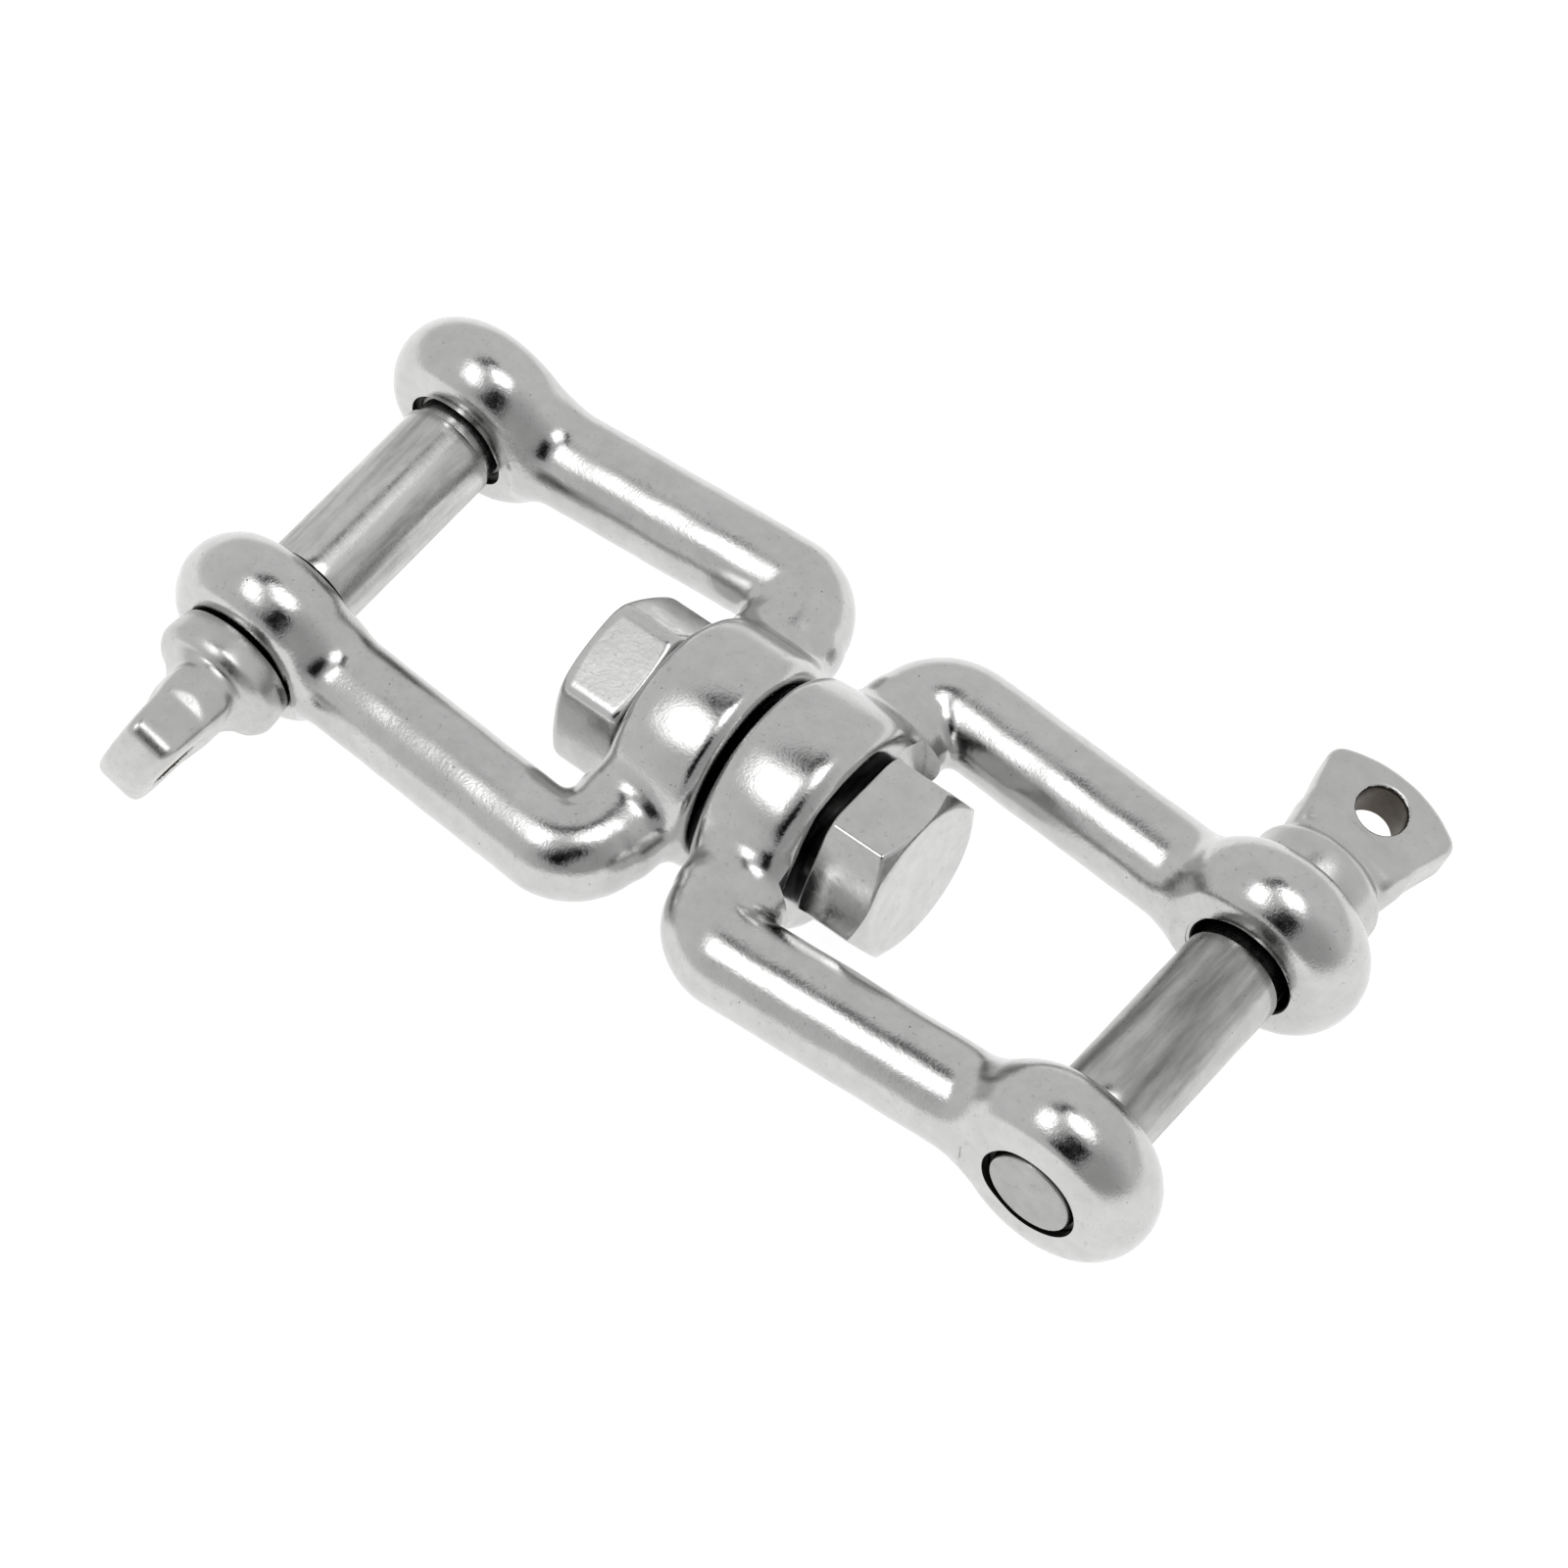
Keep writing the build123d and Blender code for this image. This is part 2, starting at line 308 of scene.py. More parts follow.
def segment_distance(x, y, z, start, end):
    dx, dy = end[0] - start[0], end[1] - start[1]
    along = ((x - start[0]) * dx + (y - start[1]) * dy) / (dx * dx + dy * dy)
    along = np.clip(along, 0.0, 1.0)
    return np.sqrt((x - start[0] - along * dx) ** 2 + (y - start[1] - along * dy) ** 2 + z * z)


arm_corner = (crossbar_x + arm_start * lean_cos, arm_y_corner - arm_start * lean_sin)
arm_root = (crossbar_x + arm_end * lean_cos, arm_y_corner - arm_end * lean_sin)


def jaw_field(x, y, z):
    v = np.abs(y)
    # Arm and bend
    arm = segment_distance(x, v, z, arm_corner, arm_root) - bar_radius
    dx, dy = x - bend_x, v - bend_y
    spread = np.sqrt(dx * dx + dy * dy)
    bend = np.sqrt((spread - bend_radius) ** 2 + z * z) - bar_radius
    in_bend = (dy >= 0) & (dx * lean_cos - dy * lean_sin <= 0)
    bend = np.where(in_bend, bend, 1e3)
    # Crossbar, oval in the middle
    swell = np.clip(1.25 - v / bend_y, 0.0, 0.65) / 0.65
    half_width = bar_radius + (crossbar_half_width - bar_radius) * swell
    beyond = np.maximum(v - bend_y, 0.0)
    across = (x - crossbar_x) * bar_radius / half_width
    crossbar = np.sqrt(across**2 + z * z + beyond * beyond) - bar_radius
    bar = np.minimum(bend, blend_union(arm, crossbar, 1.0))
    # Ear
    rho = np.sqrt((x - reach) ** 2 + z * z)
    lift = v - ear_y
    ear = np.sqrt(np.maximum(rho - ear_core_radius, 0.0) ** 2 + lift * lift) - ear_rim_radius
    face = np.abs(lift) - ear_half_thickness
    ear = blend_common(ear, face, 0.6)
    solid = blend_union(bar, ear, 1.6)
    machined = np.maximum(rho - ear_face_radius, 0.12 - face)
    solid = blend_cut(solid, machined, 0.3)
    # Boss
    half = boss_length / 2
    share = (x - boss_start - half) / half
    radial = np.sqrt(y * y + z * z) - (boss_radius - boss_rim - boss_crown * share * share)
    axial = np.abs(x - boss_start - half) - (half - boss_rim)
    boss = np.sqrt(np.maximum(radial, 0) ** 2 + np.maximum(axial, 0) ** 2)
    boss = boss + np.minimum(np.maximum(radial, axial), 0) - boss_rim
    shoulder = (radial - boss_rim) * 0.83 + (x - boss_end + boss_window_rim * 0.5) * 0.56
    boss = blend_common(boss, shoulder, 1.0)
    solid = blend_union(solid, boss, 1.3)
    solid = np.maximum(solid, boss_start - x)
    return solid + 0.03 + 0.03 * uneven(x, y, z, 2.2)


def hex_field(start, end, turn, edge, outer_rim, inner_rim):
    """A hexagon along X between start and end, chamfered at 30 degrees on each end face."""
    low, high = min(start, end), max(start, end)
    outwards = 1.0 if end > start else -1.0

    def field(x, y, z):
        solid = None
        for k in range(3):
            angle = turn + math.radians(30 + 60 * k)
            flat = np.abs(y * math.cos(angle) + z * math.sin(angle)) - hex_half
            solid = flat if solid is None else blend_common(solid, flat, edge)
        rho = np.sqrt(y * y + z * z)
        for rim, place, way in ((outer_rim, end, outwards), (inner_rim, start, -outwards)):
            cone = (rho - rim) * 0.5 + (x - place) * way * 0.866
            solid = blend_common(solid, cone, edge)
        slab = np.abs(x - (low + high) / 2) - (high - low) / 2
        return blend_common(solid, slab, edge)

    return field


def eye_field(turn):
    """Collar, waisted neck and fan-shaped eye plate of a pin, turned about the pin's axis."""
    turn_cos, turn_sin = math.cos(turn), math.sin(turn)

    def field(x, y, z):
        u = (x - reach) * turn_cos + z * turn_sin
        w = -(x - reach) * turn_sin + z * turn_cos
        rho = np.sqrt(u * u + w * w)
        # Collar, domed from the ear side out to a lip
        share = np.clip((y - collar_start) / (collar_end - collar_start), 0, 1)
        dome = collar_radius + collar_swell * np.sin(np.clip(share / 0.66, 0, 1) * math.pi / 2)
        dome = dome - collar_lip_drop * np.clip((share - 0.64) / 0.36, 0, 1) ** 2
        ends = np.abs(y - (collar_start + collar_end) / 2) - (collar_end - collar_start) / 2
        collar = blend_common((rho - dome) * 0.9, ends, 0.16)
        # Neck, flaring out to the collar's lip
        rise = np.clip((y - collar_end) / neck_height, 0, 1)
        neck_u = neck_half_width + 0.4 * (1 - rise) ** 1.5
        neck_w = neck_half_depth + 2.1 * (1 - rise) ** 1.35
        ring = np.sqrt((u / neck_u) ** 2 + (w / neck_w) ** 2)
        neck = (ring - 1) * np.minimum(neck_u, neck_w) * 0.9
        neck = blend_common(neck, np.abs(y - neck_middle) - neck_half_length, 0.5)
        # Fan plate, a little thicker at its root
        lean = math.atan2(plate_top_half_width - plate_root_half_width, plate_top - plate_root)
        flank = (np.abs(u) - plate_root_half_width) * math.cos(lean) - (y - plate_root) * math.sin(lean)
        crown = np.sqrt(u * u + (y - (crown_top - crown_radius)) ** 2) - crown_radius
        outline = blend_common(flank, crown, 1.0)
        outline = blend_common(outline, plate_start - y, 0.5)
        thick = np.abs(w) - (plate_half_thickness - plate_thinning * np.clip(y - 21.0, 0, 8))
        plate = blend_common(outline, thick, 0.95)
        solid = blend_union(neck, plate, 1.5)
        solid = blend_union(solid, collar, 0.12)
        hole = eye_hole_radius - np.sqrt(u * u + (y - eye_y) ** 2)
        solid = blend_common(solid, hole, 0.35)
        return solid + 0.012 * uneven(x, y, z, 1.1) + 0.012

    return field


# Cutting tools and boolean work ---------------------------------------------------------------

def cut(obj, tools):
    """Cuts the tools from obj, exactly, and deletes them."""
    for tool in tools:
        change = obj.modifiers.new("cut", "BOOLEAN")
        change.operation = "DIFFERENCE"
        change.solver = "EXACT"
        change.object = tool
    graph = bpy.context.evaluated_depsgraph_get()
    mesh = bpy.data.meshes.new_from_object(obj.evaluated_get(graph))
    obj.modifiers.clear()
    old = obj.data
    obj.data = mesh
    bpy.data.meshes.remove(old)
    for tool in tools:
        bpy.data.objects.remove(tool)
    return obj


def crisp(obj, angle):
    """Smooth shading with sharp edges where faces meet at more than an angle in degrees."""
    mesh = obj.data
    work = bmesh.new()
    work.from_mesh(mesh)
    limit = math.radians(angle)
    for face in work.faces:
        face.smooth = True
    for edge in work.edges:
        edge.smooth = not (len(edge.link_faces) == 2 and edge.calc_face_angle(0.0) > limit)
    work.to_mesh(mesh)
    work.free()
    return obj


def turned(name, rings, axis, place, segments=128):
    """Solid of revolution about X at the origin or Y at the pin.

    rings are (radius, along), in order along the axis. A radius is a number, or a function of
    the height and the angle for a thread.
    """
    points = []
    for radius, along in rings:
        for s in range(segments):
            angle = 2 * math.pi * s / segments
            size = radius(along, angle) if callable(radius) else radius
            a, b = size * math.cos(angle), size * math.sin(angle)
            points.append((along, a, b) if axis == "X" else (reach + a, along, b))
    faces = []
    for r in range(len(rings) - 1):
        for s in range(segments):
            t = (s + 1) % segments
            a, b = r * segments, (r + 1) * segments
            faces.append((a + s, a + t, b + t, b + s))
    faces.append(tuple(range(segments))[::-1])
    last = (len(rings) - 1) * segments
    faces.append(tuple(range(last, last + segments)))
    obj = mesh_object(name, points, faces, place)
    work = bmesh.new()
    work.from_mesh(obj.data)
    bmesh.ops.recalc_face_normals(work, faces=work.faces)
    work.to_mesh(obj.data)
    work.free()
    return obj


def jaw_tools(place):
    """Tools for one jaw: the seat under the hex, the bolt's way and the two ear holes."""
    rounding = ear_mouth_radius - plain_hole_radius
    plain_mouth = []
    for k in range(6):
        angle = math.pi / 2 * k / 5
        plain_mouth.append((
            ear_mouth_radius - rounding * math.sin(angle),
            inner_face + rounding * (1 - math.cos(angle)),
        ))
    return [
        turned("seat", ((spot_face_radius, boss_end), (spot_face_radius, 13.0)), "X", place),
        turned("bolt_way", (
            (bolt_hole_radius + hole_mouth, boss_start - 0.5),
            (bolt_hole_radius + hole_mouth, boss_start),
            (bolt_hole_radius, boss_start + hole_mouth),
            (bolt_hole_radius, boss_end - hole_mouth),
            (bolt_hole_radius + hole_mouth, boss_end),
            (bolt_hole_radius + hole_mouth, boss_end + 0.5),
        ), "X", place),
        turned("tapped_way", (
            (pin_radius, -outer_face - 1.0),
            (pin_radius, -inner_face - 0.65),
            (tapped_mouth_radius, -inner_face - 0.55),
            (tapped_mouth_radius, -inner_face + 1.0),
        ), "Y", place),
        turned("plain_way", (
            (ear_mouth_radius, inner_face - 1.0),
            *plain_mouth,
            (plain_hole_radius, outer_face + 1.0),
        ), "Y", place),
    ]


# Jaws -----------------------------------------------------------------------------------------

jaw_step = 0.3
jaw_points, jaw_faces = surface_of(
    jaw_field,
    (boss_start - 0.9, -19.0, -10.0),
    (jaw_high[0] * MM + 0.9, 19.0, 10.0),
    jaw_step,
)


def make_jaw(name, body, place):
    jaw = mesh_object(name, jaw_points, jaw_faces, place)
    cut(jaw, jaw_tools(place))
    crisp(jaw, 28)
    to_jaw = place.inverted()
    # Faces inside the ear holes and the bolt hole get the second material, near-black painted shade
    for polygon in jaw.data.polygons:
        spot = to_jaw @ polygon.center
        around_pin = math.hypot(spot.x - reach, spot.z)
        around_bolt = math.hypot(spot.y, spot.z)
        in_ear = inner_face + 0.12 < abs(spot.y) < outer_face - 0.12 and around_pin < 4.63
        in_boss = boss_start + 0.02 < spot.x < boss_end - 0.02 and around_bolt < bolt_hole_radius + 0.34
        polygon.material_index = int(in_ear or in_boss)
    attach(jaw, body)
    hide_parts(body)
    return jaw


right_jaw = make_jaw("right_jaw_casting", "right_jaw", right_place)
left_jaw = make_jaw("left_jaw_casting", "left_jaw", left_place)


# Screw pins -----------------------------------------------------------------------------------

def thread_form(start, end, crest, root, fade_start, fade_end):
    """Radius of a right-handed M8 thread, as a function of height and angle.

    It runs out to its crest over fade_start and fade_end at its two ends.
    """
    def radius(height, angle):
        phase = (height / thread_pitch - angle / (2 * math.pi)) % 1.0
        tooth = abs(phase - 0.5) * 2
        tooth = min(max((tooth - 0.12) / 0.72, 0.0), 1.0)
        fade = min(1.0, max(0.0, (height - start) / max(fade_start, 1e-6)))
        fade *= min(1.0, max(0.0, (end - height) / max(fade_end, 1e-6)))
        return crest - (crest - root) * tooth * fade

    return radius


def threaded_body(name, axis, rows, thread, start, end, place):
    """Turned body whose rows (radius, along) make way for a thread between start and end."""
    steps = int((end - start) / thread_pitch * 22)
    rings = [(r, h) for r, h in rows if h < start]
    rings += [(thread, start + (end - start) * i / steps) for i in range(steps + 1)]
    rings += [(r, h) for r, h in rows if h > end]
    return crisp(turned(name, rings, axis, place), 35)


def make_pin_shank(name, place):
    """Sawn tip, thread, relief, plain shank and the journal that runs on under the collar."""
    tip = -outer_face
    rows = [
        (0.3, tip + 0.06), (0.7, tip + 0.02), (1.15, tip + 0.05), (1.5, tip + 0.02), (2.1, tip + 0.04),
        (2.5, tip + 0.0), (3.0, tip + 0.02), (3.25, tip + 0.0), (3.38, tip + 0.04), (3.45, tip + 0.14),
        (3.5, tip + 0.5), (3.62, tip + 0.75),
    ]
    rows += [
        (relief_radius, relief_start + 0.05), (relief_radius, shank_start - 0.12),
        (relief_radius + 0.1, shank_start - 0.02), (pin_radius - 0.12, shank_start),
        (pin_radius - 0.03, shank_start + 0.04), (pin_radius, shank_start + 0.12),
        (pin_radius, shank_start + 1.0), (pin_radius, 0.0), (pin_radius, shank_end - 1.0),
        (pin_radius, shank_end - 0.3), (pin_radius - 0.04, shank_end - 0.1),
        (pin_radius - 0.14, shank_end - 0.02), (journal_radius + 0.02, shank_end),
        (journal_radius, shank_end + 0.05), (journal_radius, 12.0), (journal_radius, journal_end),
    ]
    thread_start = tip + 0.78
    thread = thread_form(thread_start, relief_start, thread_crest, thread_root, 0.0, 0.0)
    return threaded_body(name, "Y", rows, thread, thread_start, relief_start, place)


def make_pin(name, body, place, eye_axis):
    local = (place.to_3x3().inverted() @ Vector(eye_axis)).normalized()
    if local.z < 0:
        local = -local
    turn = math.atan2(-local.x, local.z)
    step = 0.14
    points, faces = surface_of(
        eye_field(turn),
        (reach - 6.2, collar_start - 0.5, -6.2),
        (reach + 6.2, 30.0, 6.2),
        step,
    )
    eye = mesh_object(name + "_eye", points, faces, place)
    # The faces inside the eye hole get the second material, near-black painted shade
    centres = points[faces].mean(axis=1)
    across = (centres[:, 0] - reach) * math.cos(turn) + centres[:, 2] * math.sin(turn)
    bored = np.sqrt(across**2 + (centres[:, 1] - eye_y) ** 2) < eye_hole_radius + 0.1
    eye.data.polygons.foreach_set("material_index", bored.astype(np.int32))
    shank = make_pin_shank(name + "_shank", place)
    to_pin = place.inverted()
    for polygon in shank.data.polygons:
        along = (to_pin @ polygon.center).y
        if along < 0.1 - outer_face:
            polygon.material_index = 1
        elif 0.3 - outer_face < along < -inner_face - 0.15:
            polygon.material_index = 2
    for piece in (eye, shank):
        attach(piece, body)
        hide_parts(body)
    return eye, shank


right_eye, right_shank = make_pin(
    "right_pin", "right_pin", right_place, mounts["right_pin_eye"]["axis"])
left_eye, left_shank = make_pin(
    "left_pin", "left_pin", left_place, mounts["left_pin_eye"]["axis"])


# Swivel bolt and nut --------------------------------------------------------------------------

hex_step = 0.13


def hex_mesh(name, field, low_x, high_x):
    """Mesh of a hexagon's field between low_x and high_x, and the middles of its faces."""
    points, faces = surface_of(field, (low_x - 0.6, -8.2, -8.2), (high_x + 0.6, 8.2, 8.2), hex_step)
    return mesh_object(name, points, faces, swivel_place), points[faces].mean(axis=1)


def make_bolt_head():
    field = hex_field(head_start, head_end, head_turn, 0.16, hex_rim_radius, 7.1)
    head, middles = hex_mesh("bolt_head", field, head_start, head_end)
    # The face under the head, seated on the boss, gets the second material, near-black painted shade
    seated = middles[:, 0] < head_start + 0.05
    head.data.polygons.foreach_set("material_index", seated.astype(np.int32))
    return head


def make_nut():
    field = hex_field(nut_start, nut_end, nut_turn, 0.7, 6.3, 6.6)
    body = hex_mesh("nut_body", field, nut_end, nut_start)[0]
    cut(body, [turned("nut_way", (
        (nut_mouth_radius, nut_end - 0.5),
        (nut_mouth_radius, nut_end),
        (nut_bore_radius, nut_end + 0.5),
        (nut_bore_radius, nut_start - 0.5),
        (nut_mouth_radius, nut_start),
        (nut_mouth_radius, nut_start + 0.5),
    ), "X", swivel_place)])
    return crisp(body, 30)


def make_bolt_shank():
    rows = (
        (0.4, bolt_tip), (2.0, bolt_tip), (3.15, bolt_tip), (3.3, bolt_tip + 0.04),
        (3.75, bolt_tip + 0.5), (bolt_radius, nut_start + 1.5), (bolt_radius, 0.0),
        (bolt_radius, boss_end), (bolt_radius, head_start - 0.3), (bolt_radius + 0.25, head_start),
        (bolt_radius, head_start + 1.0),
    )
    start = bolt_tip + 0.55
    end = nut_start + 1.2
    thread = thread_form(start, end, bolt_thread_crest, bolt_thread_root, 0.5, 1.0)
    return threaded_body("bolt_shank", "X", rows, thread, start, end, swivel_place)


bolt_head = make_bolt_head()
nut = make_nut()
bolt_shank = make_bolt_shank()
for piece, node in ((bolt_head, "swivel_bolt"), (bolt_shank, "swivel_bolt"), (nut, "swivel_nut")):
    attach(piece, "swivel_bolt")
    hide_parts(node)


# Materials ------------------------------------------------------------------------------------

class Nodes:
    """Short way to write a node material."""

    def __init__(self, name):
        self.material = bpy.data.materials.new(name)
        self.material.use_nodes = True
        self.tree = self.material.node_tree
        self.tree.nodes.clear()

    def add(self, kind, settings=None, **inputs):
        node = self.tree.nodes.new(kind)
        for key, value in (settings or {}).items():
            setattr(node, key, value)
        for key, value in inputs.items():
            socket = node.inputs[int(key[1:])] if key[0] == "_" else node.inputs[key]
            if isinstance(value, bpy.types.NodeSocket):
                self.tree.links.new(value, socket)
            else:
                socket.default_value = value
        return node

    def math(self, operation, a, b=0.0, c=0.0, clamp=False):
        node = self.add("ShaderNodeMath", {"operation": operation, "use_clamp": clamp}, _0=a, _1=b, _2=c)
        return node.outputs[0]

    def span(self, value, low, high, to_low=0.0, to_high=1.0):
        node = self.add("ShaderNodeMapRange", None, _0=value, _1=low, _2=high, _3=to_low, _4=to_high)
        return node.outputs[0]

    def noise(self, where, scale, detail=2.0, rough=0.5):
        node = self.add("ShaderNodeTexNoise", None, Vector=where, Scale=scale, Detail=detail,
                        Roughness=rough)
        return node.outputs[0]


def steel(name, colour, rough, peel, grain, pits, lines=None, line_depth=0.0, streaks=0.0, seat=False):
    """Polished stainless steel. Lengths inside are millimetres.

    peel and grain are the depths of the slow and fine unevenness, pits how many pits show,
    lines the axis that turning marks run round, line_depth their depth, streaks how much
    darker the dull streaks along a shank are, and seat paints shade, almost black, on the boss under the
    hex.
    """
    n = Nodes(name)
    place = n.add("ShaderNodeTexCoord").outputs["Object"]
    mm = n.add("ShaderNodeVectorMath", {"operation": "SCALE"}, _0=place, Scale=MM).outputs[0]

    slow = n.noise(mm, 0.22, 3.0)
    patch = n.noise(mm, 0.75, 4.0, 0.6)
    fine = n.noise(mm, 4.5, 4.0, 0.65)
    spots = n.noise(mm, 2.1, 2.0, 0.7)
    pit_cells = n.add("ShaderNodeTexVoronoi", None, Vector=mm, Scale=1.6, Randomness=1.0)
    pit_size = n.add("ShaderNodeTexWhiteNoise", None, Vector=pit_cells.outputs["Position"]).outputs[0]
    pit_limit = n.span(pit_size, 1.0 - pits, 1.0, 0.0, 0.11)
    pit = n.math("LESS_THAN", pit_cells.outputs["Distance"], pit_limit)

    # Colour: bright steel with cloudy patches, dark in the pits, and painted shade (near black, from
    # ambient occlusion) in the creases and gaps
    hollow = n.add("ShaderNodeAmbientOcclusion", {"samples": 6})
    hollow.inputs["Distance"].default_value = 0.0014
    crease_shade = n.span(hollow.outputs["AO"], 0.16, 0.5, 0.05, 1.0)
    shade = n.span(patch, 0.3, 0.75, 1.03, 0.92)
    specks = n.span(spots, 0.62, 0.75, 1.0, 0.8)
    shade = n.math("MULTIPLY", shade, specks)
    shade = n.math("MULTIPLY", shade, n.span(slow, 0.35, 0.65, 0.97, 1.03))
    shade = n.math("MULTIPLY", shade, n.span(pit, 0.0, 1.0, 1.0, 0.3))
    shade = n.math("MULTIPLY", shade, crease_shade)
    # Painted shade: the ring of the boss under the hex head is darkened almost to black
    if seat:
        apart = n.add("ShaderNodeSeparateXYZ", None, _0=mm)
        across = n.math("POWER", apart.outputs[1], 2.0)
        across = n.math("ADD", across, n.math("POWER", apart.outputs[2], 2.0))
        under = n.span(n.math("SQRT", across), 6.1, 6.7, 1.0, 0.0)
        off_seat = n.math("ABSOLUTE", n.math("SUBTRACT", n.math("ABSOLUTE", apart.outputs[0]), boss_end))
        under = n.math("MULTIPLY", under, n.span(off_seat, 0.2, 0.4, 1.0, 0.0))
        shade = n.math("MULTIPLY", shade, n.span(under, 0.0, 1.0, 1.0, 0.06))
    tint = n.add("ShaderNodeVectorMath", {"operation": "SCALE"}, _0=colour, Scale=shade)

    # Roughness: satin clouds over the polish
    cloud = n.math("ADD", n.span(patch, 0.3, 0.8, -0.05, 0.09), n.span(fine, 0.3, 0.7, -0.03, 0.05))
    gloss = n.math("ADD", cloud, rough)
    gloss = n.math("ADD", gloss, n.math("MULTIPLY", pit, 0.3), clamp=True)

    # Relief
    height = n.math("MULTIPLY", n.noise(mm, 0.55, 2.0), peel)
    height = n.math("ADD", height, n.math("MULTIPLY", n.noise(mm, 2.2, 2.0), peel * 0.3))
    height = n.math("ADD", height, n.math("MULTIPLY", fine, grain))
    height = n.math("SUBTRACT", height, n.math("MULTIPLY", pit, 0.03))
    if lines is not None:
        stretch = n.add("ShaderNodeVectorMath", {"operation": "MULTIPLY"}, _0=mm)
        factors = [0.06, 0.06, 0.06]
        factors["XYZ".index(lines)] = 9.0
        stretch.inputs[1].default_value = factors
        marks = n.noise(stretch.outputs[0], 1.0, 3.0, 0.7)
        height = n.math("ADD", height, n.math("MULTIPLY", marks, line_depth))
        gloss = n.math("ADD", gloss, n.span(marks, 0.35, 0.7, -0.03, 0.06), clamp=True)
    if streaks > 0:
        long = n.add("ShaderNodeVectorMath", {"operation": "MULTIPLY"}, _0=mm)
        long.inputs[1].default_value = (0.45, 0.05, 0.45)
        drawn = n.noise(long.outputs[0], 1.0, 4.0, 0.6)
        veil = n.span(drawn, 0.36, 0.6, 1.0 - streaks, 1.08)
        tint = n.add("ShaderNodeVectorMath", {"operation": "SCALE"}, _0=tint.outputs[0], Scale=veil)
        gloss = n.math("ADD", gloss, n.span(drawn, 0.36, 0.6, 0.12, -0.04), clamp=True)
    bump = n.add("ShaderNodeBump", None, Strength=1.0, Distance=1.0 / MM, Height=height)

    shader = n.add("ShaderNodeBsdfPrincipled", None, Roughness=gloss, Normal=bump.outputs[0])
    shader.inputs["Metallic"].default_value = 1.0
    n.tree.links.new(tint.outputs[0], shader.inputs["Base Color"])
    out = n.add("ShaderNodeOutputMaterial")
    n.tree.links.new(shader.outputs[0], out.inputs["Surface"])
    return n.material


cast_steel = steel("cast_steel_look", (0.56, 0.56, 0.555), 0.115, 0.011, 0.015, 0.34, seat=True)
eye_steel = steel("eye_steel_look", (0.55, 0.55, 0.54), 0.29, 0.01, 0.009, 0.16)
hex_steel = steel("hex_steel_look", (0.58, 0.58, 0.575), 0.18, 0.01, 0.006, 0.1)
pin_steel = steel("pin_steel_look", (0.57, 0.57, 0.56), 0.22, 0.008, 0.003, 0.08, "Y", 0.004, 0.4)
# Painted shade: the right shank's copy of the pin steel, its colour darker than the left shank's; its dull
# streaks are a little stronger too
shaded_pin = steel("dull_pin_look", (0.45, 0.45, 0.44), 0.21, 0.008, 0.003, 0.12, "Y", 0.004, 0.5)
tip_steel = steel("tip_steel_look", (0.4, 0.4, 0.39), 0.36, 0.01, 0.008, 0.12)
thread_steel = steel("thread_steel_look", (0.3, 0.29, 0.28), 0.3, 0.01, 0.006, 0.1)
# Painted shade: near-black steel for the inside of the eye hole, where shade falls
bore_shade = steel("bore_steel_look", (0.07, 0.058, 0.045), 0.42, 0.03, 0.01, 0.2)
# Painted shade: near-black steel for the faces inside the jaw's bores and under the bolt head
recess_shade = steel("grime_look", (0.05, 0.048, 0.046), 0.45, 0.03, 0.01, 0.2)
bolt_steel = steel("bolt_steel_look", (0.46, 0.46, 0.45), 0.27, 0.01, 0.003, 0.05, "X", 0.006)


def dress(obj, *materials):
    for material in materials:
        obj.data.materials.append(material)


for jaw in (right_jaw, left_jaw):
    dress(jaw, cast_steel, recess_shade)
for eye in (right_eye, left_eye):
    dress(eye, eye_steel, bore_shade)
dress(right_shank, shaded_pin, tip_steel, thread_steel)
dress(left_shank, pin_steel, tip_steel, thread_steel)
dress(bolt_head, hex_steel, recess_shade)
dress(nut, hex_steel)
dress(bolt_shank, bolt_steel)


# Floor, lights and camera ---------------------------------------------------------------------

def paper_floor_glow():
    """White paper with painted light: it glows, brightest under the part and dimmer far off, so that the
    metal has a horizon.
    """
    n = Nodes("paper_floor_glow")
    where = n.add("ShaderNodeTexCoord").outputs["Object"]
    paper = n.noise(where, 900.0, 3.0)
    white = n.add("ShaderNodeMix", {"data_type": "RGBA"}, _0=paper)
    white.inputs[6].default_value = (0.92, 0.92, 0.92, 1.0)
    white.inputs[7].default_value = (0.95, 0.95, 0.95, 1.0)
    skin = n.add("ShaderNodeBsdfPrincipled", None)
    skin.inputs["Roughness"].default_value = 0.9
    skin.inputs["Specular IOR Level"].default_value = 0.1
    # Painted light: the paper glows as well as taking light
    skin.inputs["Emission Strength"].default_value = 0.95
    # Painted light: the glow fades from full strength under the part to 0.58 of it far off
    away = n.add("ShaderNodeVectorMath", {"operation": "LENGTH"}, _0=where).outputs["Value"]
    smooth = {"interpolation_type": "SMOOTHSTEP"}
    fading = n.add("ShaderNodeMapRange", smooth, _0=away, _1=0.075, _2=0.36, _3=1.0, _4=0.58)
    scaled = {"operation": "SCALE"}
    glow = n.add("ShaderNodeVectorMath", scaled, _0=white.outputs[2], Scale=fading.outputs[0])
    n.tree.links.new(glow.outputs[0], skin.inputs["Emission Color"])
    dim = n.add("ShaderNodeVectorMath", scaled, _0=white.outputs[2], Scale=0.32)
    n.tree.links.new(dim.outputs[0], skin.inputs["Base Color"])
    out = n.add("ShaderNodeOutputMaterial")
    n.tree.links.new(skin.outputs[0], out.inputs["Surface"])
    return n.material


def make_floor(half, height):
    corners = [(-half, -half, height), (half, -half, height), (half, half, height), (-half, half, height)]
    floor = mesh_object("floor", corners, [(0, 1, 2, 3)], smooth=False)
    dress(floor, paper_floor_glow())


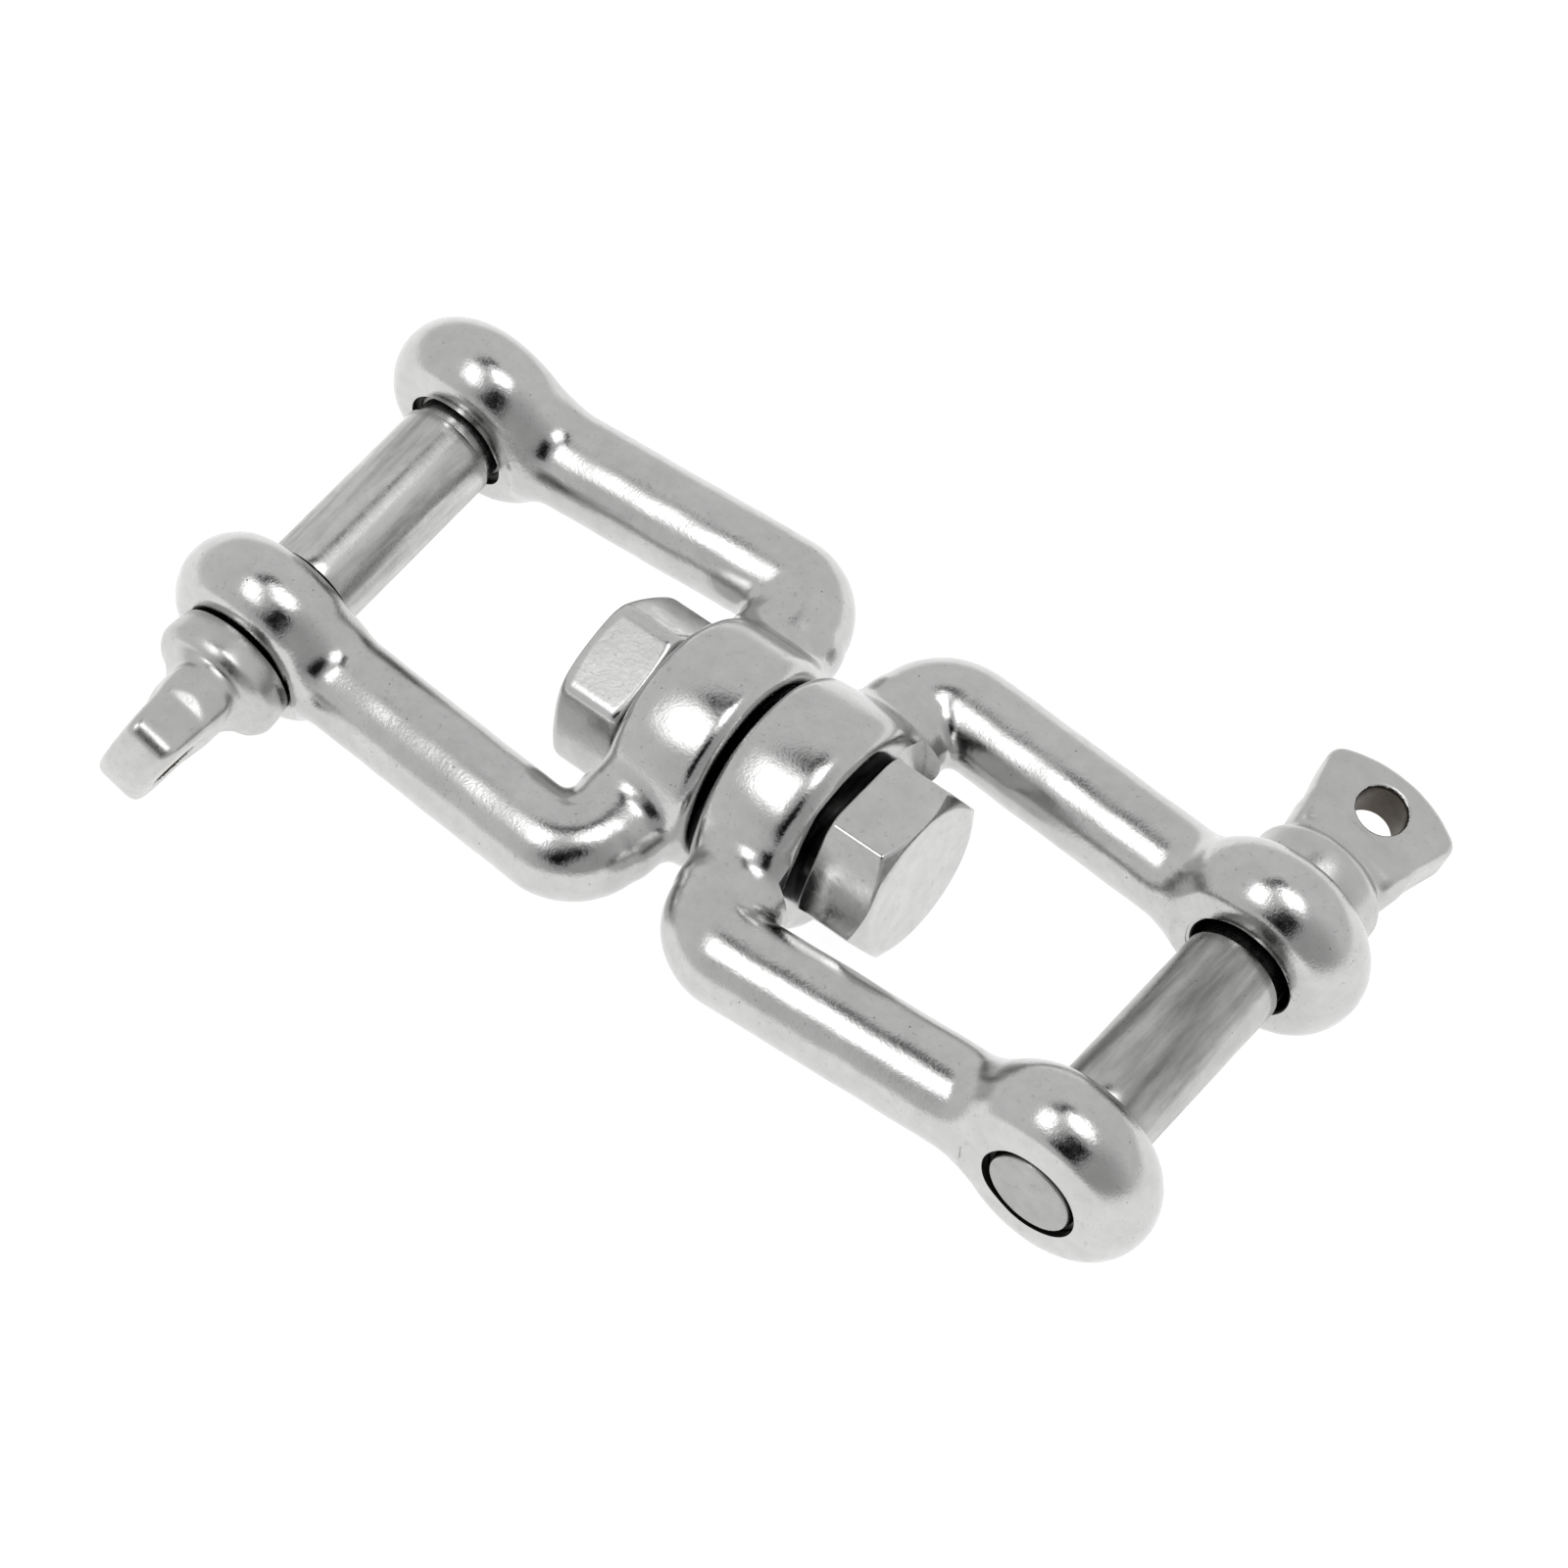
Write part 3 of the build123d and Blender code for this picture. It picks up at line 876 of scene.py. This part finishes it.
def make_world():
    """Pale light tent, dimmer towards one side."""
    world = bpy.data.worlds.new("studio")
    bpy.context.scene.world = world
    world.use_nodes = True
    tent = world.node_tree
    ray = tent.nodes.new("ShaderNodeTexCoord").outputs["Generated"]
    facing = tent.nodes.new("ShaderNodeVectorMath")
    facing.operation = "DOT_PRODUCT"
    facing.inputs[1].default_value = (0.66, -0.66, 0.35)
    tent.links.new(ray, facing.inputs[0])
    shade = tent.nodes.new("ShaderNodeMapRange")
    shade.interpolation_type = "SMOOTHSTEP"
    for socket, value in ((1, 0.35), (2, 1.0), (3, 0.78), (4, 0.45)):
        shade.inputs[socket].default_value = value
    tent.links.new(facing.outputs["Value"], shade.inputs[0])
    tent.nodes["Background"].inputs[0].default_value = (1.0, 1.0, 1.0, 1.0)
    tent.links.new(shade.outputs[0], tent.nodes["Background"].inputs[1])


make_floor(2.0, min(corner[2] for corner in cad_box))
make_world()

camera_right = Vector((0.77705, 0.62944, -0.00157)).normalized()
camera_back = Vector((0.34964, -0.42956, 0.83260)).normalized()
camera_up = camera_back.cross(camera_right).normalized()
camera_place = Vector((0.14358, -0.17360, 0.33723))


def towards(aside, above):
    """Direction that lies so many degrees to the right of and above the camera, seen from the swivel."""
    off = math.radians(math.hypot(aside, above))
    way = camera_right * aside + camera_up * above
    return camera_back * math.cos(off) + way.normalized() * math.sin(off)


def aimed(obj, bearing, distance, spin):
    """Places obj so that it faces the origin, its top towards the camera's top, then spins it."""
    way = towards(*bearing)
    side = camera_up.cross(way).normalized()
    top = way.cross(side)
    turn = Matrix((side, top, way)).transposed().to_4x4()
    spun = turn @ Matrix.Rotation(math.radians(spin), 4, "Z")
    obj.matrix_world = Matrix.Translation(way * distance) @ spun


def softbox(name, bearing, distance, wide, high, radiance, spin=0.0):
    """Area light: wide and high are the angles it fills, in degrees."""
    light = bpy.data.lights.new(name, "AREA")
    light.shape = "RECTANGLE"
    light.size = 2 * distance * math.tan(math.radians(wide / 2))
    light.size_y = 2 * distance * math.tan(math.radians(high / 2))
    light.energy = radiance * math.pi * light.size * light.size_y
    obj = bpy.data.objects.new(name, light)
    bpy.context.scene.collection.objects.link(obj)
    aimed(obj, bearing, distance, spin)


def dark_card(name, bearing, distance, wide, high, spin=0.0, grey=0.01):
    """Black card that shows only in reflections, as the camera and its stand do in a light tent."""
    w = distance * math.tan(math.radians(wide / 2))
    h = distance * math.tan(math.radians(high / 2))
    card = mesh_object(name, [(-w, -h, 0), (w, -h, 0), (w, h, 0), (-w, h, 0)], [(0, 1, 2, 3)], smooth=False)
    aimed(card, bearing, distance, spin)
    ink = Nodes(name + "_ink")
    dark = ink.add("ShaderNodeEmission")
    dark.inputs["Color"].default_value = (grey, grey, grey, 1.0)
    ink_out = ink.add("ShaderNodeOutputMaterial")
    ink.tree.links.new(dark.outputs[0], ink_out.inputs["Surface"])
    dress(card, ink.material)
    card.visible_camera = False
    card.visible_diffuse = False
    card.visible_shadow = False
    card.visible_transmission = False


softbox("softbox_left", (-31, 19), 0.8, 9, 22, 2.6, -27)
softbox("softbox_left_edge", (-31, 19), 0.83, 16, 36, 1.15, -27)
softbox("softbox_right", (12, 25), 0.8, 20, 18, 1.8, -20)
softbox("softbox_right_edge", (12, 25), 0.83, 27, 26, 1.05, -20)
dark_card("camera_shade", (-13, -15), 0.5, 46, 26, 38, 0.005)
dark_card("tent_seam", (-2, 45.5), 0.9, 26, 12, 22, 0.02)


def make_camera():
    data = bpy.data.cameras.new("camera")
    data.lens = 126.98
    data.sensor_width = 36.0
    data.clip_start = 0.01
    data.clip_end = 20.0
    camera = bpy.data.objects.new("camera", data)
    bpy.context.scene.collection.objects.link(camera)
    turn = Matrix((camera_right, camera_up, camera_back)).transposed().to_4x4()
    camera.matrix_world = Matrix.Translation(camera_place) @ turn
    bpy.context.scene.camera = camera


make_camera()
bpy.context.scene.view_settings.view_transform = "Standard"
